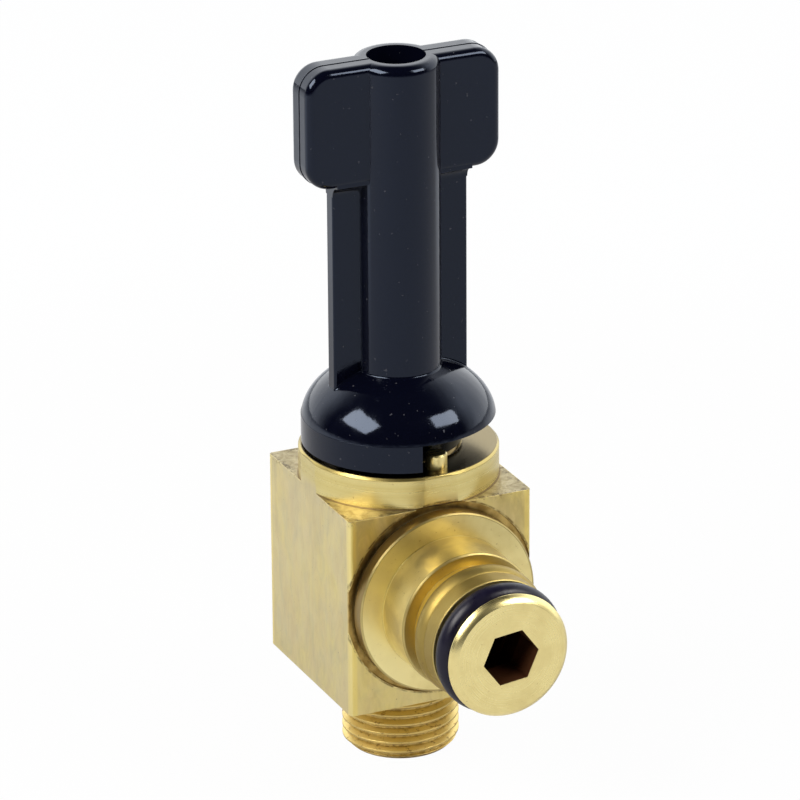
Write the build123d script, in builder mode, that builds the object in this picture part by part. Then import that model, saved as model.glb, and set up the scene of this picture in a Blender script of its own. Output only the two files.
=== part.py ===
"""Needle valve: square-bar brass body, turn-knob with a rising spindle, and a plug-in outlet nipple.

+Z runs up the spindle, and the origin is on that axis at the shoulder above the inlet thread.
The nipple points along -Y. The knob stands near the open end of its travel.
"""

import os
from math import cos, radians, sin, tan

from build123d import *

os.makedirs("parts", exist_ok=True)

# ---- driving dimensions, mm ----
BAR = 20.0                # square bar across flats
BODY_H = 21.2             # from the inlet shoulder to the turned top face
BAR_EDGE_R = 0.4          # rounded long edges of the drawn bar
COLLAR_R = 10.15          # turned collar, a little wider than the bar
COLLAR_H = 3.35
COLLAR_TOP = BODY_H + COLLAR_H
COLLAR_CHAMFER = 0.25

THREAD_R = 6.0            # inlet thread, M12 x 1
THREAD_PITCH = 1.0
THREAD_DEPTH = 0.58
THREAD_LEN = 8.5
INLET_BORE_R = 3.5

CHAMBER_R = 4.3
CHAMBER_FLOOR = 7.9
SEAT_TOP = 7.3            # plane of the seat's sharp edge
SEAT_BOTTOM = 3.9
ORIFICE_R = 1.3

BONNET_SEAT = 13.4        # ledge that the bonnet's nose stands on
NOSE_R = 4.7
NOSE_TOP = 17.6
BONNET_R = 5.95           # M12 x 1 outside
GLAND_R = 3.025
GLAND_TOP = 18.5
BONNET_THREAD_R = 4.0     # M8 x 0.5 inside

LIFT_PER_TURN = 0.5       # spindle thread pitch
TURN_TO_SHUT = 217.4      # degrees from here to the shut stop
DROP_TO_SHUT = LIFT_PER_TURN * TURN_TO_SHUT / 360

SHANK_R = 2.98
SPINDLE_THREAD_R = 3.95
SPINDLE_BOTTOM = 10.7
SPINDLE_SHOULDER = 25.4   # the knob's insert stands on it
SPINDLE_TOP = 31.0
DRIVE_R = 3.0
DRIVE_FLATS = 4.6
NEEDLE_SHANK_R = 1.6
NEEDLE_STUB_R = 1.2
NEEDLE_HALF_ANGLE = 30.0
NEEDLE_TIP_R = 0.4

PIN_R = 1.1
PIN_CIRCLE_R = 7.85
PIN_ANGLE = -86.0         # polar angle about +Z
PIN_HEIGHT = 1.55         # above the collar
PIN_DEPTH = 4.0
PIN_CHAMFER = 0.15

NIPPLE_Z = 11.3
SPOTFACE_R = 10.25
SPOTFACE_DEPTH = 0.35
GASKET_T = 0.5
STUB_R = 5.95             # M12 x 1, screwed into the body
STUB_LEN = 4.2
PORT_R = 2.6
FLANGE_R = 9.6
FLANGE_FRONT = 1.64       # distances along the nipple are from the bar's face
HUB_R = 7.2
HUB_FRONT = 6.5
NECK_R = 5.9
NECK_FRONT = 7.8
BEAD_R = 6.95
BEAD_CROWN = 8.8
BEAD_FRONT = 10.1
LAND_R = 6.7
RING_GROOVE_BACK = 12.3
RING_GROOVE_FRONT = 15.3
RING_GROOVE_R = 4.4
HEAD_R = 6.45
HEAD_EDGE = 15.5
FACE_R = 5.75
HEAD_BULGE = 0.06         # the head's front edge is a slightly rounded chamfer
NIPPLE_FRONT = 16.2
HEX_FLATS = 5.2
HEX_DEPTH = 6.2
HEX_TURN = 6.5            # degrees
NIPPLE_BORE_R = 2.3
RING_SECTION_R = 1.2      # 2.4 mm O-ring, resting on the back of its groove
RING_CENTRE_R = 5.61
RING_GAP = 0.02

KNOB_BOTTOM = 25.0
KNOB_TOP = 65.55
RIM_R = 9.85
RIM_INNER_R = 7.75
RIM_TOP = 27.8
RIM_ARC = 120.0
RIM_END_ANGLE = -100.5    # polar angle of the rim's end beside the pin
HUB_OUTER_R = 6.4
DOME_CENTRE = 27.2
DOME_RISE = 6.44
POCKET_TOP = 29.2
STEM_R = 4.38
STEM_BORE_R = 2.96
STEM_EDGE_R = 0.95
STEM_FOOT_FILLET = 0.25
RIB_HALF_W = 7.34
RIB_T = 1.6
RIB_EDGE_R = 0.25
WING_HALF_W = 10.47
WING_T = 4.16
WING_BOTTOM = 53.2
WING_CORNER_R = 2.6
WING_EDGE_R = 0.8
COVE_R = 1.2              # runs the wings' underside into the ribs
SEAM_T = 0.14             # mould parting line round the wings
SEAM_PROUD = 0.06

INSERT_R = 4.5
INSERT_TOP = 32.0
INSERT_WEB = 0.8
RECESS_R = 4.9            # under the insert, in the knob's hub
WASHER_T = 0.4
SPRING_WASHER_T = 0.7
SPRING_WASHER_R = 2.65
SPRING_SPLIT_X = 2.2      # the split's middle
SPRING_SPLIT_W = 0.4
SPRING_SPLIT_TURN = 25    # degrees
SCREW_R = 1.48            # M3 shank
SCREW_HEAD_R = 2.75
SCREW_HEAD_H = 3.0
SCREW_HEAD_CHAMFER = 0.3
SCREW_POINT = 0.4
SCREW_KEY = 2.5           # hex across flats
SCREW_KEY_DEPTH = 1.6
SCREW_BOTTOM = 23.4
SCREW_CLEARANCE_R = 1.63


def nipple_plane():
    """Local x runs out along the nipple from the bar's face, and local y is radial."""
    return Plane(origin=(0, -BAR / 2, NIPPLE_Z), x_dir=(0, -1, 0), z_dir=(-1, 0, 0))


def nipple_disc_plane(distance):
    """The plane square to the nipple at a distance out from the bar's face."""
    return Plane(origin=(0, -BAR / 2 - distance, NIPPLE_Z), x_dir=(1, 0, 0), z_dir=(0, -1, 0))


NIPPLE_AXIS = Axis((0, 0, NIPPLE_Z), (0, -1, 0))


def finish(piece, name):
    """Label a piece and write its file."""
    piece.part.label = name
    export_step(piece.part, f"parts/{name}.step")


# ---- valve body: inlet thread, bar block and collar in one piece ----
THREAD_CORE_R = THREAD_R - THREAD_DEPTH
THREAD_CHAMFER = 0.8
THREAD_RUNOUT = 0.9
RELIEF_R = THREAD_CORE_R - 0.05
SHANK_ROOT = 0.5          # the spigot reaches this far up into the bar
THREAD_START = 37         # degrees; where the thread breaks out of the end chamfer
ROOT_HALF_W = 0.07
CREST_HALF_W = 0.485
CUTTER_PROUD = 0.12
CUTTER_SHORT = 0.3        # the helix stops inside the runout
BORE_CHAMFER = 0.4
SEAT_LEDGE = 0.5          # the seat insert is pressed up against it
NOSE_GAP = 0.05
SPOTFACE_PROUD = 0.5      # the cutters start this far outside the bar's face
SOCKET_SPARE = 0.15       # the nipple's socket is this much deeper than its stub

with BuildPart() as thread_cutter:
    with BuildLine() as thread_path:
        Helix(THREAD_PITCH, THREAD_LEN - CUTTER_SHORT, THREAD_R, center=(0, 0, -THREAD_LEN - THREAD_PITCH))
    with BuildSketch(Plane(thread_path.line @ 0, x_dir=(1, 0, 0), z_dir=thread_path.line % 0)):
        with BuildLine():
            Polyline(
                (-THREAD_DEPTH, -ROOT_HALF_W), (-THREAD_DEPTH, ROOT_HALF_W),
                (CUTTER_PROUD, CREST_HALF_W), (CUTTER_PROUD, -CREST_HALF_W), close=True,
            )
        make_face()
    sweep(path=thread_path.line, is_frenet=True)

with BuildPart() as collar:
    with BuildSketch(Plane.XY.offset(BODY_H)):
        Circle(COLLAR_R)
    extrude(amount=COLLAR_H)
    chamfer(collar.edges().group_by(Axis.Z)[-1], COLLAR_CHAMFER)
    with BuildSketch(Plane.XY.offset(BODY_H)):
        RectangleRounded(BAR, BAR, BAR_EDGE_R)
    extrude(amount=COLLAR_H, mode=Mode.INTERSECT)

with BuildPart() as valve_body:
    with BuildSketch(Plane.XZ):
        with BuildLine():
            Polyline(
                (0, SHANK_ROOT), (RELIEF_R, SHANK_ROOT), (RELIEF_R, -THREAD_RUNOUT),
                (THREAD_R, -THREAD_RUNOUT - THREAD_DEPTH), (THREAD_R, THREAD_CHAMFER - THREAD_LEN),
                (THREAD_R - THREAD_CHAMFER, -THREAD_LEN), (0, -THREAD_LEN), close=True,
            )
        make_face()
    revolve(axis=Axis.Z)
    add(thread_cutter.part, rotation=(0, 0, THREAD_START), mode=Mode.SUBTRACT)
    # the drawn bar, then the collar turned on its end, flatted where the bar runs out
    with BuildSketch():
        RectangleRounded(BAR, BAR, BAR_EDGE_R)
    extrude(amount=BODY_H)
    add(collar.part)
    # passages on the spindle axis
    with BuildSketch(Plane.XZ):
        with BuildLine():
            Polyline(
                (0, -THREAD_LEN), (INLET_BORE_R + BORE_CHAMFER, -THREAD_LEN),
                (INLET_BORE_R, BORE_CHAMFER - THREAD_LEN), (INLET_BORE_R, SEAT_TOP),
                (INLET_BORE_R - SEAT_LEDGE, SEAT_TOP), (INLET_BORE_R - SEAT_LEDGE, CHAMBER_FLOOR),
                (CHAMBER_R, CHAMBER_FLOOR), (CHAMBER_R, BONNET_SEAT), (NOSE_R + NOSE_GAP, BONNET_SEAT),
                (NOSE_R + NOSE_GAP, NOSE_TOP), (THREAD_R, NOSE_TOP), (THREAD_R, COLLAR_TOP - BORE_CHAMFER),
                (THREAD_R + BORE_CHAMFER, COLLAR_TOP), (0, COLLAR_TOP), close=True,
            )
        make_face()
    revolve(axis=Axis.Z, mode=Mode.SUBTRACT)
    # spot-face, threaded socket and port for the nipple
    with BuildSketch(nipple_disc_plane(SPOTFACE_PROUD)):
        Circle(SPOTFACE_R)
    extrude(amount=-SPOTFACE_PROUD - SPOTFACE_DEPTH, mode=Mode.SUBTRACT)
    with BuildSketch(nipple_disc_plane(0)):
        Circle(THREAD_R)
    extrude(amount=-STUB_LEN - SOCKET_SPARE, mode=Mode.SUBTRACT)
    with BuildSketch(nipple_disc_plane(0)):
        Circle(PORT_R)
    extrude(amount=-BAR / 2, mode=Mode.SUBTRACT)
    # hole for the stop pin
    with BuildSketch(Plane.XY.offset(COLLAR_TOP)):
        with PolarLocations(PIN_CIRCLE_R, 1, start_angle=PIN_ANGLE):
            Circle(PIN_R)
    extrude(amount=-PIN_DEPTH, mode=Mode.SUBTRACT)
finish(valve_body, "valve_body")

# ---- outlet nipple, its gasket and its O-ring ----
STUB_CHAMFER = 0.5
EDGE_BREAK = 0.15         # on the flange and the hub
SCORE = 0.12              # half width of the scored line behind the land
GROOVE_EDGE = 0.1
GASKET_INSET = 0.3
GASKET_GAP = 0.1
GASKET_FRONT = GASKET_T - SPOTFACE_DEPTH

with BuildPart() as outlet_nipple:
    with BuildSketch(nipple_plane()):
        with BuildLine():
            Polyline(
                (0, 0), (-STUB_LEN, 0), (-STUB_LEN, STUB_R - STUB_CHAMFER), (STUB_CHAMFER - STUB_LEN, STUB_R),
                (GASKET_FRONT, STUB_R), (GASKET_FRONT, FLANGE_R), (FLANGE_FRONT - EDGE_BREAK, FLANGE_R),
                (FLANGE_FRONT, FLANGE_R - EDGE_BREAK), (FLANGE_FRONT, HUB_R), (HUB_FRONT - EDGE_BREAK, HUB_R),
                (HUB_FRONT, HUB_R - EDGE_BREAK), (HUB_FRONT, NECK_R), (NECK_FRONT, NECK_R),
            )
            ThreePointArc((NECK_FRONT, NECK_R), (BEAD_CROWN, BEAD_R), (BEAD_FRONT, LAND_R))
            Polyline(
                (BEAD_FRONT, LAND_R), (BEAD_FRONT + SCORE, LAND_R - SCORE), (BEAD_FRONT + 2 * SCORE, LAND_R),
                (RING_GROOVE_BACK - GROOVE_EDGE, LAND_R), (RING_GROOVE_BACK, LAND_R - GROOVE_EDGE),
                (RING_GROOVE_BACK, RING_GROOVE_R), (RING_GROOVE_FRONT, RING_GROOVE_R),
                (RING_GROOVE_FRONT, HEAD_R - GROOVE_EDGE), (RING_GROOVE_FRONT + GROOVE_EDGE, HEAD_R),
                (HEAD_EDGE, HEAD_R),
            )
            head_bulge = ((HEAD_EDGE + NIPPLE_FRONT) / 2 + HEAD_BULGE, (HEAD_R + FACE_R) / 2 + HEAD_BULGE)
            ThreePointArc((HEAD_EDGE, HEAD_R), head_bulge, (NIPPLE_FRONT, FACE_R))
            Polyline((NIPPLE_FRONT, FACE_R), (NIPPLE_FRONT, 0), (0, 0))
        make_face()
    revolve(axis=NIPPLE_AXIS)
    with BuildSketch(nipple_disc_plane(NIPPLE_FRONT)):
        Circle(NIPPLE_BORE_R)
    extrude(amount=-NIPPLE_FRONT - STUB_LEN, mode=Mode.SUBTRACT)
    with BuildSketch(nipple_disc_plane(NIPPLE_FRONT)):
        RegularPolygon(HEX_FLATS / 2, 6, major_radius=False, rotation=HEX_TURN)
    extrude(amount=-HEX_DEPTH, mode=Mode.SUBTRACT)
finish(outlet_nipple, "outlet_nipple")

with BuildPart() as nipple_gasket:
    with BuildSketch(nipple_disc_plane(-SPOTFACE_DEPTH)):
        Circle(FLANGE_R - GASKET_INSET)
        Circle(STUB_R + GASKET_GAP, mode=Mode.SUBTRACT)
    extrude(amount=GASKET_T)
finish(nipple_gasket, "nipple_gasket")


def ring(name, plane, centre_r, section_r, offset=0.0):
    """A round-section ring about the plane's x axis, with its centre offset along that axis."""
    with BuildPart() as piece:
        with BuildSketch(plane):
            with Locations((offset, centre_r)):
                Circle(section_r)
        revolve(axis=Axis(plane.origin, plane.x_dir))
    finish(piece, name)


UP_PLANE = Plane(origin=(0, 0, 0), x_dir=(0, 0, 1), z_dir=(0, -1, 0))  # local x up, local y radial

ring_place = RING_GROOVE_BACK + RING_SECTION_R + RING_GAP
ring("coupling_o_ring", nipple_plane(), RING_CENTRE_R, RING_SECTION_R, ring_place)

# ---- stop pin ----
with BuildPart() as stop_pin:
    with BuildSketch(Plane.XY.offset(COLLAR_TOP - PIN_DEPTH)):
        with PolarLocations(PIN_CIRCLE_R, 1, start_angle=PIN_ANGLE):
            Circle(PIN_R)
    extrude(amount=PIN_DEPTH + PIN_HEIGHT)
    chamfer(stop_pin.edges().group_by(Axis.Z)[-1], PIN_CHAMFER)
finish(stop_pin, "stop_pin")


def turned(name, profile):
    """A piece turned about the spindle axis from (height, radius) points, closed along the axis side."""
    with BuildPart() as piece:
        with BuildSketch(UP_PLANE):
            with BuildLine():
                Polyline(*profile, close=True)
            make_face()
        revolve(axis=Axis.Z)
    finish(piece, name)


# ---- seat insert, pressed up into the inlet bore ----
ORIFICE_BOTTOM = SEAT_TOP - 1.5
SEAT_BORE_R = 2.1
SEAT_CHAMFER = 0.2
turned("seat_insert", [
    (SEAT_BOTTOM, SEAT_BORE_R), (SEAT_BOTTOM, INLET_BORE_R - SEAT_CHAMFER),
    (SEAT_BOTTOM + SEAT_CHAMFER, INLET_BORE_R), (SEAT_TOP, INLET_BORE_R), (SEAT_TOP, ORIFICE_R),
    (ORIFICE_BOTTOM, ORIFICE_R), (ORIFICE_BOTTOM, SEAT_BORE_R),
])

# ---- bonnet: screwed into the collar, carries the spindle's thread and gland bore ----
BONNET_TOP = COLLAR_TOP - 0.05
BONNET_STEP = NOSE_TOP + 0.1
BONNET_LEAD = 0.4         # chamfer at the foot of its outside thread
BONNET_CHAMFER = 0.3
NOSE_CHAMFER = 0.2
GLAND_CHAMFER = 0.25
BONNET_SLOT = (1.6, 1.2)  # width and depth
BONNET_GROOVE_BOTTOM = 14.0
BONNET_GROOVE_TOP = 15.3
BONNET_GROOVE_R = 3.7
BONNET_RING_SECTION_R = 0.49

with BuildPart() as bonnet:
    with BuildSketch(UP_PLANE):
        with BuildLine():
            Polyline(
                (BONNET_SEAT, GLAND_R + GLAND_CHAMFER), (BONNET_SEAT, NOSE_R - NOSE_CHAMFER),
                (BONNET_SEAT + NOSE_CHAMFER, NOSE_R), (BONNET_GROOVE_BOTTOM, NOSE_R),
                (BONNET_GROOVE_BOTTOM, BONNET_GROOVE_R), (BONNET_GROOVE_TOP, BONNET_GROOVE_R),
                (BONNET_GROOVE_TOP, NOSE_R), (BONNET_STEP, NOSE_R), (BONNET_STEP, BONNET_R - BONNET_LEAD),
                (BONNET_STEP + BONNET_LEAD, BONNET_R), (BONNET_TOP - BONNET_CHAMFER, BONNET_R),
                (BONNET_TOP, BONNET_R - BONNET_CHAMFER), (BONNET_TOP, BONNET_THREAD_R + BONNET_CHAMFER),
                (BONNET_TOP - BONNET_CHAMFER, BONNET_THREAD_R), (GLAND_TOP, BONNET_THREAD_R),
                (GLAND_TOP, GLAND_R), (BONNET_SEAT + GLAND_CHAMFER, GLAND_R), close=True,
            )
        make_face()
    revolve(axis=Axis.Z)
    # cross slot for the fitting key
    with BuildSketch(Plane.XY.offset(BONNET_TOP)):
        Rectangle(2 * BONNET_R + 1, BONNET_SLOT[0])
    extrude(amount=-BONNET_SLOT[1], mode=Mode.SUBTRACT)
finish(bonnet, "bonnet")
bonnet_groove_z = (BONNET_GROOVE_BOTTOM + BONNET_GROOVE_TOP) / 2
bonnet_ring_r = BONNET_GROOVE_R + 0.01 + BONNET_RING_SECTION_R
ring("bonnet_o_ring", UP_PLANE, bonnet_ring_r, BONNET_RING_SECTION_R, bonnet_groove_z)

# ---- spindle and what it carries ----
CLIP_BOTTOM = 12.3
CLIP_T = 0.6
CLIP_R = 3.8
CLIP_ROOT_R = 2.38
CLIP_OPENING = 3.4
SEAL_ROOT_R = 1.82
LOWER_SEAL = (14.3, 15.6)
UPPER_SEAL = (16.3, 18.3)
SEAL_SECTION_R = 0.58
SEAL_CENTRE_R = 2.42
UPPER_RING_Z = UPPER_SEAL[0] + 0.62
STUB_HOLE_DEPTH = 3.0
THREAD_BOTTOM = 19.5
THREAD_LEAD = 0.5         # slope at the foot of the spindle's thread
SPINDLE_CHAMFER = 0.3
CLIP_GROOVE = (CLIP_BOTTOM - 0.05, CLIP_BOTTOM + CLIP_T + 0.05)
SCREW_HOLE_R = SCREW_R + 0.02
SCREW_HOLE_SPARE = 0.8

with BuildPart() as spindle:
    with BuildSketch(UP_PLANE):
        with BuildLine():
            Polyline(
                (SPINDLE_BOTTOM, 0), (SPINDLE_BOTTOM, SHANK_R - SPINDLE_CHAMFER),
                (SPINDLE_BOTTOM + SPINDLE_CHAMFER, SHANK_R), (CLIP_GROOVE[0], SHANK_R),
                (CLIP_GROOVE[0], CLIP_ROOT_R), (CLIP_GROOVE[1], CLIP_ROOT_R), (CLIP_GROOVE[1], SHANK_R),
                (LOWER_SEAL[0], SHANK_R), (LOWER_SEAL[0], SEAL_ROOT_R), (LOWER_SEAL[1], SEAL_ROOT_R),
                (LOWER_SEAL[1], SHANK_R), (UPPER_SEAL[0], SHANK_R), (UPPER_SEAL[0], SEAL_ROOT_R),
                (UPPER_SEAL[1], SEAL_ROOT_R), (UPPER_SEAL[1], SHANK_R), (THREAD_BOTTOM, SHANK_R),
                (THREAD_BOTTOM + THREAD_LEAD, SPINDLE_THREAD_R),
                (SPINDLE_SHOULDER - SPINDLE_CHAMFER, SPINDLE_THREAD_R),
                (SPINDLE_SHOULDER, SPINDLE_THREAD_R - SPINDLE_CHAMFER), (SPINDLE_SHOULDER, DRIVE_R),
                (SPINDLE_TOP - SPINDLE_CHAMFER, DRIVE_R), (SPINDLE_TOP, DRIVE_R - SPINDLE_CHAMFER),
                (SPINDLE_TOP, 0), close=True,
            )
        make_face()
    revolve(axis=Axis.Z)
    # flats that drive the knob's insert
    with BuildSketch(Plane.XY.offset(SPINDLE_SHOULDER)):
        Circle(DRIVE_R + 1)
        Rectangle(2 * DRIVE_R + 2, DRIVE_FLATS, mode=Mode.SUBTRACT)
    extrude(amount=SPINDLE_TOP - SPINDLE_SHOULDER, mode=Mode.SUBTRACT)
    with Locations((0, 0, SPINDLE_TOP)):
        Hole(SCREW_HOLE_R, depth=SPINDLE_TOP - SCREW_BOTTOM + SCREW_HOLE_SPARE)
    with BuildSketch(Plane.XY.offset(SPINDLE_BOTTOM)):
        Circle(NEEDLE_STUB_R)
    extrude(amount=STUB_HOLE_DEPTH, mode=Mode.SUBTRACT)
finish(spindle, "spindle")

needle_slope = tan(radians(NEEDLE_HALF_ANGLE))
SHUT_GAP = 0.03           # left between the cone and the seat's edge when shut
seat_line = SEAT_TOP + DROP_TO_SHUT + SHUT_GAP
needle_tip = seat_line - (ORIFICE_R - NEEDLE_TIP_R) / needle_slope
cone_top = seat_line + (NEEDLE_SHANK_R - ORIFICE_R) / needle_slope
needle_top = SPINDLE_BOTTOM + STUB_HOLE_DEPTH - 0.2
turned("needle", [
    (needle_tip, 0), (needle_tip, NEEDLE_TIP_R), (cone_top, NEEDLE_SHANK_R), (SPINDLE_BOTTOM, NEEDLE_SHANK_R),
    (SPINDLE_BOTTOM, NEEDLE_STUB_R), (needle_top, NEEDLE_STUB_R), (needle_top, 0),
])

with BuildPart() as spindle_clip:
    with BuildSketch(Plane.XY.offset(CLIP_BOTTOM)):
        Circle(CLIP_R)
        Circle(CLIP_ROOT_R + 0.02, mode=Mode.SUBTRACT)
        with Locations((0, CLIP_R / 2)):
            Rectangle(CLIP_OPENING, CLIP_R, mode=Mode.SUBTRACT)
    extrude(amount=CLIP_T)
finish(spindle_clip, "spindle_clip")

with BuildPart() as spindle_o_rings:
    with BuildSketch(UP_PLANE):
        with Locations((sum(LOWER_SEAL) / 2, SEAL_CENTRE_R), (UPPER_RING_Z, SEAL_CENTRE_R)):
            Circle(SEAL_SECTION_R)
    revolve(axis=Axis.Z)
finish(spindle_o_rings, "spindle_o_rings")

BACKUP_T = 0.6
BACKUP_TOP = UPPER_SEAL[1] - 0.05
BACKUP_INNER_R = SEAL_ROOT_R + 0.02
BACKUP_OUTER_R = 3.0
turned("backup_ring", [
    (BACKUP_TOP - BACKUP_T, BACKUP_INNER_R), (BACKUP_TOP - BACKUP_T, BACKUP_OUTER_R),
    (BACKUP_TOP, BACKUP_OUTER_R), (BACKUP_TOP, BACKUP_INNER_R),
])

# ---- knob insert: a ribbed brass bush moulded into the knob ----
GRIP_COUNT = 12
GRIP_R = 0.45
GRIP_VALLEY = 0.25        # depth between the grip ribs
DRIVE_GAP = 0.02


def insert_outline():
    """The bush's outside, with grip ribs all round."""
    Circle(INSERT_R - GRIP_VALLEY)
    with PolarLocations(INSERT_R - GRIP_R, GRIP_COUNT):
        Circle(GRIP_R)


with BuildPart() as knob_insert:
    with BuildSketch(Plane.XY.offset(SPINDLE_SHOULDER)):
        insert_outline()
    extrude(amount=INSERT_TOP - SPINDLE_SHOULDER)
    with BuildSketch(Plane.XY.offset(SPINDLE_SHOULDER)):
        Circle(DRIVE_R + DRIVE_GAP)
        Rectangle(2 * DRIVE_R + 2, DRIVE_FLATS + 2 * DRIVE_GAP, mode=Mode.INTERSECT)
    extrude(amount=INSERT_TOP - INSERT_WEB - SPINDLE_SHOULDER, mode=Mode.SUBTRACT)
    with BuildSketch(Plane.XY.offset(INSERT_TOP)):
        Circle(SCREW_CLEARANCE_R)
    extrude(amount=-2 * INSERT_WEB, mode=Mode.SUBTRACT)
finish(knob_insert, "knob_insert")

# ---- knob wings, with the mould parting line round their edge ----
wing_centre_z = (WING_BOTTOM + KNOB_TOP) / 2
wing_h = KNOB_TOP - WING_BOTTOM

with BuildPart() as wings:
    with BuildSketch(Plane.XZ.offset(-WING_T / 2)):
        with Locations((0, wing_centre_z)):
            RectangleRounded(2 * WING_HALF_W, wing_h, WING_CORNER_R)
    extrude(amount=WING_T)
    flat_faces = wings.faces().filter_by(Axis.Y)
    fillet(flat_faces.edges(), WING_EDGE_R)
    # coves
    with BuildSketch(Plane.YZ.offset(-RIB_HALF_W)):
        with BuildLine():
            Polyline((0, WING_BOTTOM - COVE_R), (RIB_T / 2, WING_BOTTOM - COVE_R))
            RadiusArc((RIB_T / 2, WING_BOTTOM - COVE_R), (RIB_T / 2 + COVE_R, WING_BOTTOM), COVE_R)
            Polyline((RIB_T / 2 + COVE_R, WING_BOTTOM), (RIB_T / 2 + COVE_R, WING_BOTTOM + 1),
                     (0, WING_BOTTOM + 1), (0, WING_BOTTOM - COVE_R))
        make_face()
        mirror(about=Plane.YZ)
    extrude(amount=2 * RIB_HALF_W)
    with BuildSketch(Plane.XZ.offset(-SEAM_T / 2)):
        with Locations((0, wing_centre_z)):
            RectangleRounded(2 * (WING_HALF_W + SEAM_PROUD), wing_h + 2 * SEAM_PROUD,
                             WING_CORNER_R + SEAM_PROUD)
    extrude(amount=SEAM_T)


def polar(r, angle):
    """The point at this radius and angle in degrees."""
    return (r * cos(radians(angle)), r * sin(radians(angle)))


# ---- knob: one moulding ----
STEM_FOOT = 29.9          # inside the dome's wall
RIM_FAR_END_ANGLE = RIM_END_ANGLE - RIM_ARC

with BuildPart() as knob:
    # dome and hub
    with BuildSketch(UP_PLANE):
        with BuildLine():
            EllipticalCenterArc((DOME_CENTRE, 0), DOME_RISE, RIM_R, start_angle=0, arc_size=90)
            Polyline((DOME_CENTRE, RIM_R), (DOME_CENTRE, 0), (DOME_CENTRE + DOME_RISE, 0))
        make_face()
        with Locations((RIM_TOP, 0)):
            Rectangle(DOME_RISE, 2 * RIM_R, align=(Align.MIN, Align.CENTER), mode=Mode.INTERSECT)
    revolve(axis=Axis.Z)
    with BuildSketch(Plane.XY.offset(KNOB_BOTTOM)):
        Circle(HUB_OUTER_R)
    extrude(amount=RIM_TOP - KNOB_BOTTOM)
    # rim, left out where the stop pin travels
    with BuildSketch(Plane.XY.offset(KNOB_BOTTOM)):
        with BuildLine():
            CenterArc((0, 0), RIM_R, RIM_FAR_END_ANGLE, RIM_ARC)
            CenterArc((0, 0), RIM_INNER_R, RIM_FAR_END_ANGLE, RIM_ARC)
            Line(polar(RIM_INNER_R, RIM_FAR_END_ANGLE), polar(RIM_R, RIM_FAR_END_ANGLE))
            Line(polar(RIM_INNER_R, RIM_END_ANGLE), polar(RIM_R, RIM_END_ANGLE))
        make_face()
    extrude(amount=RIM_TOP - KNOB_BOTTOM)
    # moulding pocket between hub and rim
    with BuildSketch(Plane.XY.offset(KNOB_BOTTOM)):
        Circle(RIM_INNER_R)
        Circle(HUB_OUTER_R, mode=Mode.SUBTRACT)
    extrude(amount=POCKET_TOP - KNOB_BOTTOM, mode=Mode.SUBTRACT)
    # stem
    with BuildSketch(Plane.XY.offset(STEM_FOOT)):
        Circle(STEM_R)
    extrude(amount=KNOB_TOP - STEM_FOOT)
    fillet(knob.edges().group_by(Axis.Z)[-1], STEM_EDGE_R)
    # side ribs
    with BuildSketch(Plane.XY.offset(STEM_FOOT)):
        RectangleRounded(2 * RIB_HALF_W, RIB_T, RIB_EDGE_R)
    extrude(amount=WING_BOTTOM + 1 - STEM_FOOT)
    foot_edges = knob.edges().filter_by_position(Axis.Z, POCKET_TOP + 1, DOME_CENTRE + DOME_RISE)
    fillet(foot_edges, STEM_FOOT_FILLET)
    add(wings.part)
    # bore down the stem, and the hollow for the insert
    with BuildSketch(Plane.XY.offset(INSERT_TOP)):
        Circle(STEM_BORE_R)
    extrude(amount=KNOB_TOP + 1 - INSERT_TOP, mode=Mode.SUBTRACT)
    with BuildSketch(Plane.XY.offset(SPINDLE_SHOULDER)):
        insert_outline()
    extrude(amount=INSERT_TOP - SPINDLE_SHOULDER, mode=Mode.SUBTRACT)
    with BuildSketch(Plane.XY.offset(KNOB_BOTTOM)):
        Circle(RECESS_R)
    extrude(amount=SPINDLE_SHOULDER - KNOB_BOTTOM, mode=Mode.SUBTRACT)
finish(knob, "knob")

# ---- knob screw and its washers ----
flat_top = INSERT_TOP + WASHER_T
spring_top = flat_top + SPRING_WASHER_T
screw_top = spring_top + SCREW_HEAD_H

with BuildPart() as knob_washer:
    with BuildSketch(Plane.XY.offset(INSERT_TOP)):
        Circle(SCREW_HEAD_R)
        Circle(SCREW_CLEARANCE_R, mode=Mode.SUBTRACT)
    extrude(amount=WASHER_T)
finish(knob_washer, "knob_washer")

with BuildPart() as knob_spring_washer:
    with BuildSketch(Plane.XY.offset(flat_top)):
        Circle(SPRING_WASHER_R)
        Circle(SCREW_R + 0.1, mode=Mode.SUBTRACT)
        with Locations(Location((SPRING_SPLIT_X, 0), SPRING_SPLIT_TURN)):
            Rectangle(SPRING_WASHER_R, SPRING_SPLIT_W, mode=Mode.SUBTRACT)
    extrude(amount=SPRING_WASHER_T)
finish(knob_spring_washer, "knob_spring_washer")

with BuildPart() as knob_screw:
    with BuildSketch(UP_PLANE):
        with BuildLine():
            Polyline(
                (SCREW_BOTTOM, 0), (SCREW_BOTTOM, SCREW_R - SCREW_POINT),
                (SCREW_BOTTOM + SCREW_POINT, SCREW_R), (spring_top, SCREW_R), (spring_top, SCREW_HEAD_R),
                (screw_top - SCREW_HEAD_CHAMFER, SCREW_HEAD_R),
                (screw_top, SCREW_HEAD_R - SCREW_HEAD_CHAMFER), (screw_top, 0), close=True,
            )
        make_face()
    revolve(axis=Axis.Z)
    with BuildSketch(Plane.XY.offset(screw_top)):
        RegularPolygon(SCREW_KEY / 2, 6, major_radius=False)
    extrude(amount=-SCREW_KEY_DEPTH, mode=Mode.SUBTRACT)
finish(knob_screw, "knob_screw")
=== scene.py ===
"""The looks of the angle needle valve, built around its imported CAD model. All lengths are metres."""

import math

import bpy
from mathutils import Matrix, Vector


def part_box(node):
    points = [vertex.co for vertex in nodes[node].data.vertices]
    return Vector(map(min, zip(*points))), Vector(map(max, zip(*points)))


MM = 0.001

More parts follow.
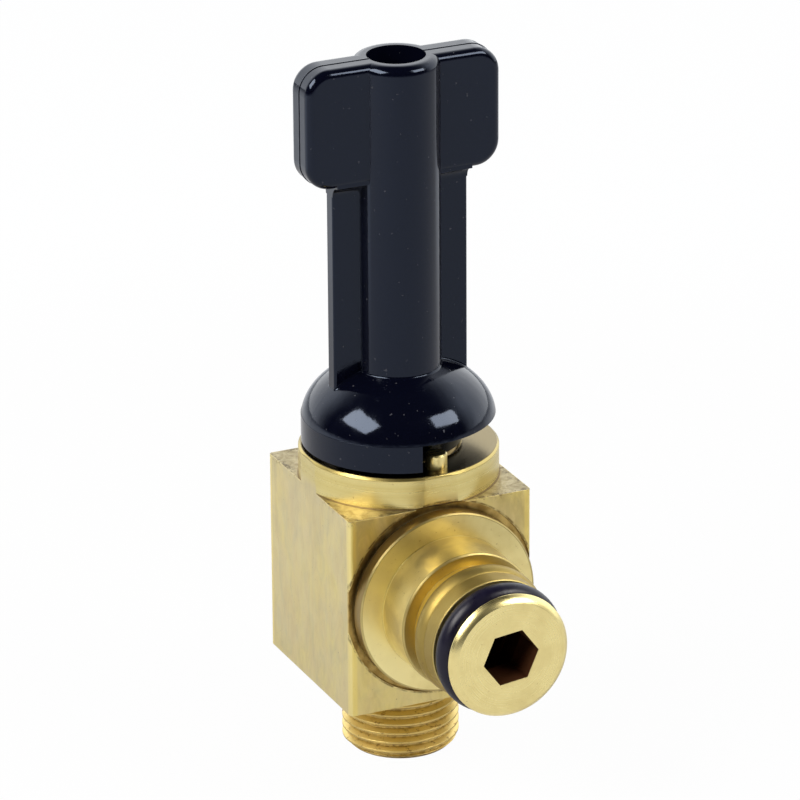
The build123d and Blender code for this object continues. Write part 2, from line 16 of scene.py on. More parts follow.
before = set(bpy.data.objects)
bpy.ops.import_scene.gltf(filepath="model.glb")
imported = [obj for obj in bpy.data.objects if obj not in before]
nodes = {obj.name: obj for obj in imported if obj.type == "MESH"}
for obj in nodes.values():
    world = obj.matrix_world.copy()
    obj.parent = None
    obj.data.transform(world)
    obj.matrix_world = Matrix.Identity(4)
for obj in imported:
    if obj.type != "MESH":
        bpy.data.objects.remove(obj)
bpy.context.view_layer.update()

# Places on the object, read from the frame.
BODY_LOW, BODY_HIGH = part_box("valve_body")
NIPPLE_LOW, NIPPLE_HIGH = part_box("outlet_nipple")
FLOOR_Z = BODY_LOW.z
NIPPLE_Z = (NIPPLE_LOW.z + NIPPLE_HIGH.z) / 2
DECK_Z = 21.2 * MM  # the bar's turned top, at the collar's foot

# The materials place their marks by these features of the parts, in millimetres.
NIPPLE_FRONT_Y = NIPPLE_LOW.y / MM
RING_GROOVE_Y = -22.3  # the back of the O-ring's groove
RING_Y = -23.8
BEAD_BACK_Y = -17.8
HUB_FRONT_Y = -16.5
FLANGE_FRONT_Y = -11.64
HEX_CORNER_R = 3.05
FACE_R = 5.75
HUB_R = 7.2
FLANGE_R = 9.6
SPOTFACE_R = 10.25
BAR_HALF = 10.0
BAR_CORNER_R = 13.98
COLLAR_R = 10.15
THREAD_ROOT_R = 5.42

# The camera, and how far right of the spindle's axis and above the deck it aims.
CAMERA_AZIMUTH, CAMERA_ELEVATION, CAMERA_ROLL = -24.556, 22.118, -0.38  # degrees
CAMERA_DISTANCE = 0.5698
CAMERA_LENS, SENSOR_WIDTH = 253.6, 36  # millimetres
AIM_RIGHT, AIM_UP = 0.17 * MM, 7.16 * MM

# The studio: softboxes that face the knob's foot, a backdrop and a paper floor.
KNOB_FOOT_Z = 28 * MM
LIGHT_TONE = (1.0, 0.965, 0.91)
BACKDROP_TONE = (0.96, 0.98, 1.0, 1)
FRONT_LEVEL, BACKDROP_LEVEL = 0.02, 1.75
WHITE = (1, 1, 1, 1)
FLOOR_HALF = 2.0
# The floor's painted shade near the object, and its tone far behind it.
FLOOR_NEAR, FLOOR_FAR = (0.56, 0.565, 0.59, 1), (0.76, 0.80, 0.87, 1)
FLOOR_SEEN = 0.97  # how much of the paper's white the camera sees

# Tones of brass.
BRIGHT_BRASS = (0.91, 0.78, 0.355, 1)
# The bonnet's brass, painted dark, standing in for the shade under the knob.
BONNET_BRASS_PAINTED_DARK = (0.30, 0.22, 0.09, 1)


# ---------------------------------------------------------------- camera


def direction(azimuth, elevation):
    """Unit vector from the object towards a point at this azimuth and elevation, in degrees; 0 is -Y."""
    a, e = math.radians(azimuth), math.radians(elevation)
    return Vector((math.sin(a) * math.cos(e), -math.cos(a) * math.cos(e), math.sin(e)))


def make_camera():
    """A long lens on the front left corner, a little above the knob."""
    back = direction(CAMERA_AZIMUTH, CAMERA_ELEVATION)
    right = Vector((0, 0, 1)).cross(back).normalized()
    up = back.cross(right)
    turn = Matrix((right, up, back)).transposed().to_4x4()
    look_at = Vector((0, 0, DECK_Z)) + right * AIM_RIGHT + up * AIM_UP
    data = bpy.data.cameras.new("camera")
    data.sensor_width = SENSOR_WIDTH
    data.lens = CAMERA_LENS
    data.clip_start = 0.05
    data.clip_end = 20
    camera = bpy.data.objects.new("camera", data)
    camera.matrix_world = (
        Matrix.Translation(look_at + back * CAMERA_DISTANCE)
        @ turn
        @ Matrix.Rotation(math.radians(CAMERA_ROLL), 4, "Z")
    )
    bpy.context.scene.collection.objects.link(camera)
    bpy.context.scene.camera = camera


# ---------------------------------------------------------------- node helpers


def add(tree, kind, inputs=None, **settings):
    """Adds a node. A value that is a socket is wired, any other is set on the node's own socket."""
    node = tree.nodes.new(kind)
    for name, value in settings.items():
        setattr(node, name, value)
    for name, value in (inputs or {}).items():
        if isinstance(value, bpy.types.NodeSocket):
            tree.links.new(value, node.inputs[name])
        else:
            node.inputs[name].default_value = value
    return node


def math_node(tree, operation, *values):
    """The result socket of a Math node."""
    return add(tree, "ShaderNodeMath", dict(enumerate(values)), operation=operation).outputs[0]


def plus(tree, a, b):
    return math_node(tree, "ADD", a, b)


def plus_all(tree, first, *others):
    for other in others:
        first = plus(tree, first, other)
    return first


def subtract(tree, a, b):
    return math_node(tree, "SUBTRACT", a, b)


def multiply(tree, first, *others):
    for other in others:
        first = math_node(tree, "MULTIPLY", first, other)
    return first


def maximum(tree, a, b):
    return math_node(tree, "MAXIMUM", a, b)


def absolute(tree, a):
    """The value without its sign."""
    return math_node(tree, "ABSOLUTE", a)


def blend(tree, share, a, b):
    """The grey value a where share is 0, and b where it is 1."""
    return plus(tree, a, multiply(tree, share, subtract(tree, b, a)))


def shade(tone, red, green, blue):
    """A colour with its channels scaled."""
    return (tone[0] * red, tone[1] * green, tone[2] * blue, 1)


def ramp(tree, value, low, high, to_low=0.0, to_high=1.0, smooth=False):
    """The value mapped from low..high to to_low..to_high, held at its ends."""
    inputs = {"Value": value, "From Min": low, "From Max": high, "To Min": to_low, "To Max": to_high}
    kind = "SMOOTHSTEP" if smooth else "LINEAR"
    return add(tree, "ShaderNodeMapRange", inputs, interpolation_type=kind).outputs["Result"]


def rising(tree, value, low, high, smooth=False):
    """0 below low and 1 above high."""
    return ramp(tree, value, low, high, smooth=smooth)


def falling(tree, value, low, high, smooth=False):
    """1 below low and 0 above high."""
    return ramp(tree, value, low, high, 1.0, 0.0, smooth)


def mix(tree, share, a, b, mode="MIX"):
    """The colour socket of a Mix node."""
    node = add(tree, "ShaderNodeMix", data_type="RGBA", blend_type=mode)
    for socket, value in ((node.inputs[0], share), (node.inputs[6], a), (node.inputs[7], b)):
        if isinstance(value, bpy.types.NodeSocket):
            tree.links.new(value, socket)
        else:
            socket.default_value = value
    return node.outputs[2]


def tint(tree, share, colour, tone):
    """The colour multiplied by the tone, by this share."""
    return mix(tree, share, colour, mix(tree, 1.0, colour, tone, "MULTIPLY"))


def noise(tree, vector, scale, detail=2.0, roughness=0.5, distortion=0.0):
    """The grey socket of a Noise texture, about 0 to 1."""
    inputs = {"Vector": vector, "Scale": scale, "Detail": detail, "Roughness": roughness}
    inputs["Distortion"] = distortion
    return add(tree, "ShaderNodeTexNoise", inputs).outputs[0]


def stretch_down(tree, mm, share):
    """Positions for a pattern that changes more slowly along Z."""
    return add(tree, "ShaderNodeMapping", {"Vector": mm, "Scale": (1.0, 1.0, share)}).outputs[0]


def place(tree):
    """The frame position in millimetres, and its x, y and z."""
    coords = add(tree, "ShaderNodeTexCoord").outputs["Object"]
    mm = add(tree, "ShaderNodeVectorMath", {0: coords, "Scale": 1000.0}, operation="SCALE").outputs["Vector"]
    split = add(tree, "ShaderNodeSeparateXYZ", {0: mm})
    return mm, split.outputs[0], split.outputs[1], split.outputs[2]


def join(tree, x, y, z):
    return add(tree, "ShaderNodeCombineXYZ", {0: x, 1: y, 2: z}).outputs[0]


def radius(tree, a, b):
    """Distance from an axis, from the two coordinates across it."""
    return math_node(tree, "SQRT", plus(tree, multiply(tree, a, a), multiply(tree, b, b)))


def bump(tree, height, distance, strength, normal=None):
    inputs = {"Height": height, "Distance": distance, "Strength": strength}
    if normal is not None:
        inputs["Normal"] = normal
    return add(tree, "ShaderNodeBump", inputs).outputs["Normal"]


def soft_edges(tree, size, samples=6):
    """A normal rounded over the edges by this radius."""
    return add(tree, "ShaderNodeBevel", {"Radius": size}, samples=samples).outputs["Normal"]


def new_material(name, **constants):
    """A material with one Principled shader. The constants are set on its own sockets."""
    material = bpy.data.materials.new(name)
    material.use_nodes = True
    tree = material.node_tree
    shader = tree.nodes["Principled BSDF"]
    for socket, value in constants.items():
        shader.inputs[socket.replace("_", " ")].default_value = value
    return material, tree, shader


def wire(tree, shader, **sockets):
    for name, socket in sockets.items():
        tree.links.new(socket, shader.inputs[name.replace("_", " ")])


# ---------------------------------------------------------------- materials


def brass_turned(name, axis_height=None, tone=BRIGHT_BRASS, rough=0.27):
    """Turned brass with fine lathe rings, about the Z axis, or about an axis along Y at this height."""
    material, tree, shader = new_material(name, Metallic=1.0)
    mm, x, y, z = place(tree)
    if axis_height is None:
        along, r = z, radius(tree, x, y)
    else:
        along, r = y, radius(tree, x, subtract(tree, z, axis_height / MM))
    rings = join(tree, r, along, 0.0)
    fine = noise(tree, rings, 14.0, 3.0, 0.7)
    broad = noise(tree, rings, 1.6, 2.0)
    cloud = noise(tree, mm, 0.35, 3.0, 0.6)
    specks = rising(tree, noise(tree, mm, 2.6, 3.0, 0.6), 0.66, 0.74)
    colour = mix(tree, rising(tree, cloud, 0.42, 0.70), tone, shade(tone, 0.90, 0.88, 0.84))
    colour = mix(tree, multiply(tree, specks, 0.5), colour, (0.33, 0.2, 0.07, 1))
    roughness = plus(
        tree,
        ramp(tree, fine, 0.3, 0.7, rough - 0.05, rough + 0.07),
        ramp(tree, cloud, 0.4, 0.7, 0.0, 0.06),
    )
    if axis_height is not None:
        colour, roughness = nipple_wear_and_shade(tree, (mm, x, y, z, r), colour, roughness)
    height = plus(tree, fine, multiply(tree, broad, 1.5))
    normal = bump(tree, height, 0.004 * MM, 0.3, soft_edges(tree, 0.05 * MM))
    wire(tree, shader, Base_Color=colour, Roughness=roughness, Normal=normal)
    return material


def nipple_wear_and_shade(tree, spot, colour, roughness):
    """Scratches on the outlet nipple, and painted shade, highlights and reflections over the rest of it."""
    mm, x, y, z, r = spot
    # The hex socket and the bore behind it are painted nearly black, standing in for the shade deep inside
    # them.
    behind_face = rising(tree, y, NIPPLE_FRONT_Y + 0.04, NIPPLE_FRONT_Y + 0.08)
    inside = multiply(tree, falling(tree, r, HEX_CORNER_R - 0.01, HEX_CORNER_R + 0.01), behind_face)
    colour = mix(tree, inside, colour, (0.16, 0.065, 0.03, 1))
    # Short scratches on the head's face.
    swirl = join(tree, multiply(tree, r, 3.0), y, noise(tree, mm, 0.5))
    scratch = rising(tree, noise(tree, swirl, 2.2, 2.0), 0.70, 0.74)
    near_rim = multiply(tree, rising(tree, r, 4.6, 5.0), falling(tree, r, FACE_R - 0.25, FACE_R + 0.05))
    colour = mix(tree, multiply(tree, scratch, near_rim, 0.6), colour, (0.30, 0.19, 0.06, 1))
    # Between the O-ring and the hub the brass is painted browner, standing in for the dark soft reflections
    # there.
    neck = multiply(
        tree,
        falling(tree, y, HUB_FRONT_Y - 0.05, HUB_FRONT_Y + 0.05),
        rising(tree, y, RING_GROOVE_Y - 0.1, RING_GROOVE_Y + 0.1),
    )
    colour = tint(tree, multiply(tree, neck, 0.9), colour, (0.34, 0.28, 0.14, 1))
    # The hub's upper part is painted duller with soft brown blotches, standing in for reflections of dark
    # studio things, and its lower part is painted paler, a painted reflection of the light.
    behind_flange_front = rising(tree, y, FLANGE_FRONT_Y - 0.26, FLANGE_FRONT_Y - 0.16)
    hub = multiply(
        tree,
        rising(tree, y, HUB_FRONT_Y + 0.1, HUB_FRONT_Y + 0.2),
        subtract(tree, 1.0, behind_flange_front),
    )
    dark_reflection_blotch = rising(tree, noise(tree, mm, 0.26, 2.0, 0.5, 0.3), 0.45, 0.58)
    upper = multiply(tree, hub, rising(tree, z, 5.5, 11.0, smooth=True))
    colour = tint(tree, upper, colour, (0.83, 0.79, 0.70, 1))
    colour = mix(tree, multiply(tree, upper, dark_reflection_blotch, 0.5), colour, (0.44, 0.34, 0.15, 1))
    lower = multiply(tree, hub, falling(tree, z, 5.0, 10.5, smooth=True))
    colour = mix(tree, multiply(tree, lower, 0.8), colour, (0.98, 0.90, 0.52, 1))
    # The flange is painted paler on its left, a painted highlight, and painted darker over its upper part,
    # painted shade that dims the lamps' reflection there.
    left = multiply(tree, behind_flange_front, falling(tree, x, -7.0, -3.0))
    colour = mix(tree, multiply(tree, left, 0.7), colour, (0.97, 0.86, 0.42, 1))
    flange_top_shade = multiply(tree, behind_flange_front, rising(tree, z, 12.0, 19.0, smooth=True))
    colour = tint(tree, flange_top_shade, colour, (0.76, 0.76, 0.76, 1))
    # The groove between the hub and the bead is painted deep gold, standing in for the warm light bounced
    # inside it.
    groove = multiply(
        tree,
        rising(tree, y, BEAD_BACK_Y - 0.1, BEAD_BACK_Y + 0.1),
        falling(tree, y, HUB_FRONT_Y - 0.06, HUB_FRONT_Y),
    )
    colour = mix(tree, multiply(tree, groove, 0.9), colour, (0.90, 0.66, 0.14, 1))
    # The flange's edge and the hub's front edge are painted darker to dim their highlights, and the flange's
    # side is painted brown, standing in for the shade inside the spot-face.
    hub_edge = multiply(
        tree,
        rising(tree, y, HUB_FRONT_Y - 0.02, HUB_FRONT_Y + 0.02),
        falling(tree, y, HUB_FRONT_Y + 0.2, HUB_FRONT_Y + 0.3),
    )
    flange_edge = multiply(tree, behind_flange_front, rising(tree, r, FLANGE_R - 0.26, FLANGE_R - 0.18))
    colour = tint(tree, maximum(tree, hub_edge, flange_edge), colour, (0.58, 0.54, 0.46, 1))
    side = multiply(
        tree,
        rising(tree, r, FLANGE_R - 0.06, FLANGE_R - 0.02),
        rising(tree, y, FLANGE_FRONT_Y + 0.04, FLANGE_FRONT_Y + 0.16),
    )
    colour = mix(tree, multiply(tree, side, 0.8), colour, (0.30, 0.20, 0.07, 1))
    # A dark ring is painted in the corner at the hub's foot.
    foot = multiply(
        tree,
        rising(tree, y, FLANGE_FRONT_Y - 0.08, FLANGE_FRONT_Y + 0.02),
        falling(tree, r, HUB_R - 0.04, HUB_R + 0.14),
    )
    colour = mix(tree, multiply(tree, foot, 0.55), colour, (0.36, 0.24, 0.07, 1))
    # Only the head is freshly cut: the rest is rougher.
    roughness = plus_all(
        tree,
        roughness,
        multiply(tree, inside, 0.35),
        multiply(tree, rising(tree, y, RING_Y - 0.1, RING_Y + 0.1), 0.06),
        multiply(tree, neck, 0.12),
        multiply(tree, hub, 0.07),
    )
    return colour, roughness


def brass_drawn(name):
    """The valve body: drawn bar with streaks down its sides, turned above the deck and threaded below."""
    material, tree, shader = new_material(name, Metallic=1.0)
    mm, x, y, z = place(tree)
    r = radius(tree, x, y)
    spot = (mm, x, y, z, r)
    deck, top = DECK_Z / MM, BODY_HIGH.z / MM
    pits = rising(tree, noise(tree, mm, 4.5, 1.0, 0.5), 0.74, 0.80)
    across = maximum(tree, absolute(tree, x), absolute(tree, y))
    on_deck = falling(tree, z, deck + 0.02, deck + 0.06)

    # The collar has narrow flats level with the bar's sides, where the drawn look runs out upwards.
    flat = multiply(
        tree,
        rising(tree, across, BAR_HALF - 0.045, BAR_HALF - 0.025),
        falling(tree, z, deck + 0.1, deck + 1.5, smooth=True),
    )
    is_turned = multiply(tree, rising(tree, z, deck - 0.08, deck - 0.01), subtract(tree, 1.0, flat))
    is_thread = falling(tree, z, -0.02, 0.02)
    any_turned = maximum(tree, is_turned, is_thread)
    turned_deck = multiply(tree, on_deck, is_turned)

    # The deck's edge is nicked.
    edge_wear = multiply(
        tree,
        rising(tree, z, deck - 0.7, deck - 0.05),
        rising(tree, r, COLLAR_R + 0.30, COLLAR_R + 0.45),
    )
    nicks = multiply(tree, edge_wear, rising(tree, noise(tree, mm, 1.6, 4.0, 0.7), 0.54, 0.62))

    colour, side_rough, side_height = drawn_sides(tree, spot, pits)
    colour = mix(tree, multiply(tree, nicks, 0.75), colour, (0.30, 0.21, 0.09, 1))
    colour = spot_face_shade(tree, spot, colour)
    rings = join(tree, r, z, 0.0)
    ring_fine = noise(tree, rings, 9.0, 3.0, 0.7)
    ring_broad = noise(tree, rings, 1.4, 2.0)
    turned, collar_top, tear = turned_top(tree, spot, pits, across, on_deck, ring_broad)
    colour = mix(tree, is_turned, colour, turned)
    colour = mix(tree, is_thread, colour, thread_tone(tree, spot))

    turned_rough = plus_all(
        tree,
        ramp(tree, ring_fine, 0.3, 0.7, 0.24, 0.36),
        multiply(tree, collar_top, -0.10),
        multiply(tree, turned_deck, 0.18),
        multiply(tree, is_thread, 0.10),
    )
    roughness = blend(tree, any_turned, side_rough, turned_rough)
    turned_height = plus_all(tree, ring_fine, ring_broad, multiply(tree, turned_deck, tear, 12.0))
    side_height = subtract(tree, side_height, multiply(tree, nicks, 4.0))
    height = blend(tree, any_turned, side_height, turned_height)
    # The flats' ends melt into the round of the collar, halfway up it.
    mid_collar = multiply(
        tree,
        rising(tree, z, deck + 0.7, deck + 1.1),
        falling(tree, z, top - 1.2, top - 0.8),
    )
    edge = plus(tree, 0.07 * MM, multiply(tree, mid_collar, 0.6 * MM))
    normal = bump(tree, height, 0.009 * MM, 0.7, soft_edges(tree, edge))
    wire(tree, shader, Base_Color=colour, Roughness=roughness, Normal=normal)
    return material


def drawn_sides(tree, spot, pits):
    """Colour, roughness and height of the bar's sides, where streaks run down the bar."""
    mm, _, y, z, r = spot
    slow = stretch_down(tree, mm, 0.5)
    bands = noise(tree, slow, 0.3, 4.0, 0.65, 0.4)
    blooms = noise(tree, slow, 0.5, 4.0, 0.62, 0.8)
    streaks = noise(tree, stretch_down(tree, mm, 0.30), 0.7, 5.0, 0.66, 1.2)
    pale, warm = (0.80, 0.70, 0.38, 1), (0.82, 0.71, 0.32, 1)
    pink, grey = (0.73, 0.60, 0.37, 1), (0.62, 0.56, 0.34, 1)
    colour = mix(tree, rising(tree, noise(tree, mm, 0.2, 3.0, 0.6), 0.38, 0.62), pale, warm)
    colour = mix(tree, ramp(tree, bands, 0.36, 0.70, 0.0, 0.55), colour, pink)
    colour = mix(tree, ramp(tree, blooms, 0.48, 0.74, 0.0, 0.6), colour, grey)
    colour = mix(tree, ramp(tree, streaks, 0.46, 0.72, 0.0, 0.26), colour, (0.55, 0.43, 0.24, 1))
    # Brown patches over the upper half, stronger towards the top.
    patches = rising(tree, noise(tree, slow, 0.22, 3.0, 0.6), 0.42, 0.60)
    upper_patches = multiply(tree, rising(tree, z, 13.0, 20.5), patches)
    colour = mix(tree, multiply(tree, upper_patches, 0.4), colour, (0.54, 0.46, 0.30, 1))
    # The long edges are rubbed bright.
    corner = rising(tree, r, BAR_CORNER_R - 0.43, BAR_CORNER_R - 0.26)
    colour = mix(tree, multiply(tree, corner, 0.85), colour, (0.92, 0.78, 0.33, 1))
    # The front and back faces are yellower than the sides, and painted darker in their upper part, a painted
    # shade.
    end_face = rising(tree, absolute(tree, y), BAR_HALF - 0.07, BAR_HALF - 0.03)
    colour = tint(tree, multiply(tree, end_face, 0.9), colour, (0.97, 0.93, 0.71, 1))
    end_face_upper_shade = multiply(tree, end_face, rising(tree, z, 6.0, 13.0), rising(tree, blooms, 0.30, 0.55), 0.6)
    colour = tint(tree, end_face_upper_shade, colour, (0.76, 0.71, 0.58, 1))
    colour = mix(tree, multiply(tree, pits, 0.8), colour, (0.26, 0.17, 0.07, 1))
    lines = noise(tree, mm, 5.0, 2.0, 0.6)
    height = plus_all(
        tree,
        multiply(tree, streaks, 0.5),
        multiply(tree, lines, 0.3),
        multiply(tree, pits, -2.5),
    )
    return colour, ramp(tree, streaks, 0.3, 0.75, 0.34, 0.5), height


def turned_top(tree, spot, pits, across, on_deck, ring_broad):
    """Colour of the collar and the deck, the share of the collar's top, and the deck's tears."""
    mm, _, _, z, r = spot
    deck, top = DECK_Z / MM, BODY_HIGH.z / MM
    light, dark = (0.77, 0.66, 0.29, 1), (0.71, 0.59, 0.23, 1)
    turned = mix(tree, rising(tree, ring_broad, 0.35, 0.65), light, dark)
    turned = mix(tree, multiply(tree, pits, 0.6), turned, (0.36, 0.23, 0.09, 1))
    # The chamfer is painted a little darker to dim its highlight, and the collar's top is painted dark
    # brown, standing in for the knob's shadow and dark reflection on it.
    rim = rising(tree, z, top - 0.34, top - 0.28)
    turned = tint(tree, rim, turned, (0.66, 0.62, 0.52, 1))
    collar_top = rising(tree, z, top - 0.06, top - 0.02)
    turned = mix(tree, multiply(tree, collar_top, 0.95), turned, (0.19, 0.145, 0.06, 1))
    # The deck is torn and burred where the tool ran out over its edges.
    tear = noise(tree, mm, 0.9, 4.0, 0.6, 0.8)
    torn = mix(tree, rising(tree, tear, 0.38, 0.64), (0.50, 0.43, 0.26, 1), (0.30, 0.24, 0.12, 1))
    turned = mix(tree, on_deck, turned, torn)
    foot_line = multiply(
        tree,
        falling(tree, r, COLLAR_R + 0.07, COLLAR_R + 0.19),
        falling(tree, z, deck + 0.10, deck + 0.16),
    )
    turned = mix(tree, multiply(tree, foot_line, 0.8), turned, (0.20, 0.13, 0.05, 1))
    shreds = rising(tree, noise(tree, mm, 1.1, 4.0, 0.7, 0.5), 0.52, 0.60)
    burr = multiply(tree, rising(tree, across, BAR_HALF - 1.0, BAR_HALF - 0.3), shreds, on_deck)
    turned = mix(tree, multiply(tree, burr, 0.85), turned, (0.12, 0.09, 0.045, 1))
    return turned, collar_top, tear


def thread_tone(tree, spot):
    """The inlet thread: dark dashes in its flanks and a little dirt at its root."""
    mm, x, y, z, r = spot
    turn = math_node(tree, "ARCTAN2", y, x)
    along_thread = join(tree, multiply(tree, turn, 6.0), multiply(tree, z, 2.2), 0.0)
    dashes = rising(tree, noise(tree, along_thread, 1.2, 4.0, 0.7), 0.57, 0.66)
    root = multiply(
        tree,
        falling(tree, r, THREAD_ROOT_R, THREAD_ROOT_R + 0.24),
        rising(tree, noise(tree, mm, 1.3, 3.0, 0.6), 0.44, 0.62),
    )
    thread = mix(tree, multiply(tree, root, 0.7), (0.75, 0.58, 0.215, 1), (0.36, 0.22, 0.06, 1))
    return mix(tree, multiply(tree, dashes, 0.8), thread, (0.26, 0.14, 0.045, 1))


def spot_face_shade(tree, spot, colour):
    """The sides' colour with the spot-face's wall painted brown as shade, its mouth nicked, and a painted
    shadow line around it.
    """
    mm, x, y, z, _ = spot
    front_end = falling(tree, y, 0.5 - BAR_HALF, 0.7 - BAR_HALF)
    from_nipple = radius(tree, x, subtract(tree, z, NIPPLE_Z / MM))
    outside_flange = rising(tree, from_nipple, 9.3, 9.5)
    wall = multiply(tree, outside_flange, falling(tree, from_nipple, SPOTFACE_R - 0.01, SPOTFACE_R + 0.02))
    frayed = plus(tree, from_nipple, multiply(tree, noise(tree, mm, 1.7, 4.0, 0.7), -0.9))
    mouth = multiply(tree, falling(tree, frayed, 9.72, 9.82), outside_flange)
    # The spot-face's wall is painted brown, painted shade in the recess, over the frayed nicks of its mouth.
    recess_shade_and_nicks = multiply(tree, front_end, maximum(tree, wall, multiply(tree, mouth, 0.7)))
    patches = rising(tree, noise(tree, mm, 0.7, 3.0), 0.4, 0.6)
    colour = mix(tree, recess_shade_and_nicks, colour, mix(tree, patches, (0.34, 0.22, 0.06, 1), (0.60, 0.43, 0.14, 1)))
    # A painted shadow line around the spot-face's mouth.
    mouth_shadow = multiply(
        tree,
        rising(tree, from_nipple, SPOTFACE_R + 0.02, SPOTFACE_R + 0.04),
        falling(tree, from_nipple, SPOTFACE_R + 0.15, SPOTFACE_R + 0.25),
        front_end,
        rising(tree, noise(tree, mm, 0.9, 3.0, 0.6), 0.38, 0.56),
        0.8,
    )
    return mix(tree, mouth_shadow, colour, (0.16, 0.10, 0.03, 1))


def knob_plastic():
    """Glossy black moulded plastic with a little dust."""
    tone, sheen, grain = (0.0014, 0.0018, 0.0060, 1), (0.43, 0.52, 0.70, 1), (0.10, 0.10, 0.11, 1)
    material, tree, shader = new_material("knob_plastic", IOR=1.52, Specular_Tint=sheen)
    mm, _, _, _ = place(tree)
    dust = rising(tree, noise(tree, mm, 2.3, 1.0, 0.5), 0.745, 0.775)
    colour = mix(tree, multiply(tree, dust, 0.4), tone, grain)
    cloud = noise(tree, mm, 0.5, 3.0, 0.6)
    roughness = plus(tree, ramp(tree, cloud, 0.35, 0.7, 0.07, 0.15), multiply(tree, dust, 0.3))
    normal = bump(tree, noise(tree, mm, 1.3, 3.0), 0.012 * MM, 0.7, soft_edges(tree, 0.03 * MM))
    wire(tree, shader, Base_Color=colour, Roughness=roughness, Normal=normal)
    return material


def moulded_rubber(name, tone):
    """Moulded rubber: dark, with a soft sheen."""
    material, tree, shader = new_material(name, IOR=1.37)
    mm, _, _, _ = place(tree)
    cloud = noise(tree, mm, 1.2, 3.0, 0.6)
    colour = mix(tree, cloud, tone, shade(tone, 2.2, 2.2, 2.2))
    roughness = ramp(tree, cloud, 0.3, 0.7, 0.26, 0.38)
    normal = bump(tree, noise(tree, mm, 9.0, 2.0), 0.004 * MM, 0.5)
    wire(tree, shader, Base_Color=colour, Roughness=roughness, Normal=normal)
    return material


def steel():
    """Stainless steel with fine turning rings."""
    material, tree, shader = new_material("stainless", Metallic=1.0)
    _, x, y, z = place(tree)
    rings = noise(tree, join(tree, radius(tree, x, y), z, 0.0), 10.0, 3.0, 0.7)
    colour = mix(tree, rings, (0.60, 0.59, 0.57, 1), (0.70, 0.69, 0.66, 1))
    roughness = ramp(tree, rings, 0.3, 0.7, 0.2, 0.35)
    normal = bump(tree, rings, 0.005 * MM, 0.6)
    wire(tree, shader, Base_Color=colour, Roughness=roughness, Normal=normal)
    return material


def white_plastic():
    """Unfilled white plastic."""
    material, tree, shader = new_material("white_plastic", IOR=1.45)
    mm, _, _, _ = place(tree)
    cloud = noise(tree, mm, 1.0, 3.0)
    colour = mix(tree, cloud, (0.80, 0.79, 0.75, 1), (0.72, 0.70, 0.66, 1))
    wire(tree, shader, Base_Color=colour, Roughness=ramp(tree, cloud, 0.3, 0.7, 0.35, 0.5))
    return material


def dress(material, *names):
    """Gives these CAD nodes this material."""
    for name in names:
        nodes[name].data.materials.clear()
        nodes[name].data.materials.append(material)


# ---------------------------------------------------------------- stage and light


def make_world():
    """The camera sees white. The light is a bright backdrop behind the object and a dim studio in front."""
    world = bpy.data.worlds.new("studio")
    world.use_nodes = True
    tree = world.node_tree
    tree.nodes.clear()
    ray = add(tree, "ShaderNodeTexCoord").outputs["Generated"]
    split = add(tree, "ShaderNodeSeparateXYZ", {0: ray})
    towards_back = plus(tree, split.outputs[1], multiply(tree, split.outputs[0], 0.6))
    behind = rising(tree, towards_back, -0.1, 0.55, smooth=True)
    low = falling(tree, split.outputs[2], 0.55, 0.95, smooth=True)
    level = plus(tree, FRONT_LEVEL, multiply(tree, behind, low, BACKDROP_LEVEL))
    studio = add(tree, "ShaderNodeBackground", {"Color": BACKDROP_TONE, "Strength": level})
    white = add(tree, "ShaderNodeBackground", {"Color": WHITE, "Strength": 1.0})
    seen = add(tree, "ShaderNodeLightPath").outputs["Is Camera Ray"]
    both = add(tree, "ShaderNodeMixShader", {0: seen, 1: studio.outputs[0], 2: white.outputs[0]})
    add(tree, "ShaderNodeOutputWorld", {"Surface": both.outputs[0]})
    bpy.context.scene.world = world


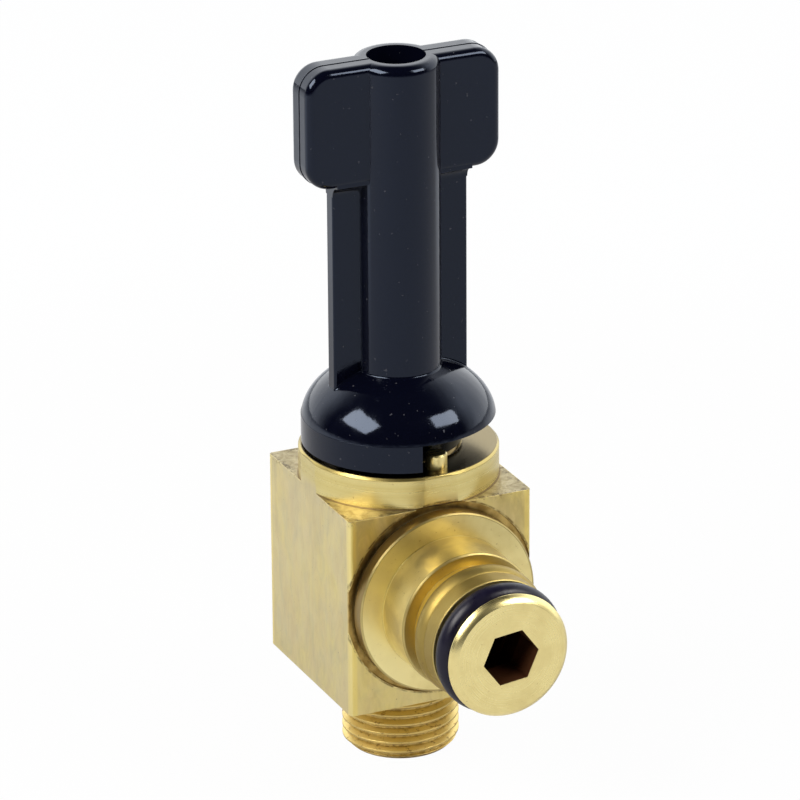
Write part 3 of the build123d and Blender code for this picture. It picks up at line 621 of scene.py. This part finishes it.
def make_floor():
    """A pale floor under the object, which the camera sees plain."""
    corners = [(-1, -1), (1, -1), (1, 1), (-1, 1)]
    mesh = bpy.data.meshes.new("floor")
    mesh.from_pydata([(a * FLOOR_HALF, b * FLOOR_HALF, FLOOR_Z) for a, b in corners], [], [(0, 1, 2, 3)])
    floor = bpy.data.objects.new("floor", mesh)
    bpy.context.scene.collection.objects.link(floor)
    material = bpy.data.materials.new("floor_paper")
    material.use_nodes = True
    tree = material.node_tree
    tree.nodes.clear()
    # The paper is painted greyer close to the object and in front of it, painted shade that stands in for
    # less light falling there.
    _, x, y, _ = place(tree)
    far = rising(tree, radius(tree, x, y), 100, 165, smooth=True)
    behind = multiply(tree, far, rising(tree, y, 0, 30, smooth=True))
    paper = add(tree, "ShaderNodeBsdfDiffuse", {"Color": mix(tree, behind, FLOOR_NEAR, FLOOR_FAR)})
    lit = add(tree, "ShaderNodeEmission", {"Color": WHITE, "Strength": 1.0})
    seen = multiply(tree, add(tree, "ShaderNodeLightPath").outputs["Is Camera Ray"], FLOOR_SEEN)
    both = add(tree, "ShaderNodeMixShader", {0: seen, 1: paper.outputs[0], 2: lit.outputs[0]})
    add(tree, "ShaderNodeOutputMaterial", {"Surface": both.outputs[0]})
    mesh.materials.append(material)


def make_softbox(name, azimuth, elevation, width, height, spin, radiance, distance=0.6):
    """A rectangular light facing the knob's foot. Its width and height are shares of its distance."""
    aim = Vector((0, 0, KNOB_FOOT_Z))
    towards = direction(azimuth, elevation)
    data = bpy.data.lights.new(name, "AREA")
    data.shape = "RECTANGLE"
    data.size, data.size_y = width * distance, height * distance
    data.color = LIGHT_TONE
    data.energy = radiance * math.pi * data.size * data.size_y
    light = bpy.data.objects.new(name, data)
    light.matrix_world = (
        Matrix.Translation(aim + towards * distance)
        @ towards.to_track_quat("Z", "Y").to_matrix().to_4x4()
        @ Matrix.Rotation(math.radians(spin), 4, "Z")
    )
    bpy.context.scene.collection.objects.link(light)


make_camera()
make_world()
make_floor()
make_softbox("softbox_left", azimuth=-80, elevation=40, width=0.70, height=0.48, spin=-18, radiance=11.6)
make_softbox("softbox_right", azimuth=44, elevation=38, width=0.52, height=0.38, spin=-14, radiance=10.0)
bpy.context.scene.view_settings.view_transform = "Standard"

dress(brass_drawn("drawn_brass"), "valve_body")
dress(brass_turned("turned_brass", axis_height=NIPPLE_Z), "outlet_nipple")
dress(brass_turned("turned_brass_upright"), "knob_insert", "stop_pin", "seat_insert")
# The bonnet is painted dark, standing in for the shade under the knob.
dress(brass_turned("bonnet_brass_painted_dark", tone=BONNET_BRASS_PAINTED_DARK, rough=0.38), "bonnet")
dress(knob_plastic(), "knob")
rubber = moulded_rubber("rubber", tone=(0.003, 0.0024, 0.009, 1))
dress(rubber, "coupling_o_ring", "bonnet_o_ring", "spindle_o_rings")
dress(moulded_rubber("gasket", tone=(0.012, 0.008, 0.006, 1)), "nipple_gasket")
dress(steel(), "spindle", "spindle_clip", "knob_washer", "knob_spring_washer", "knob_screw", "needle")
dress(white_plastic(), "backup_ring")
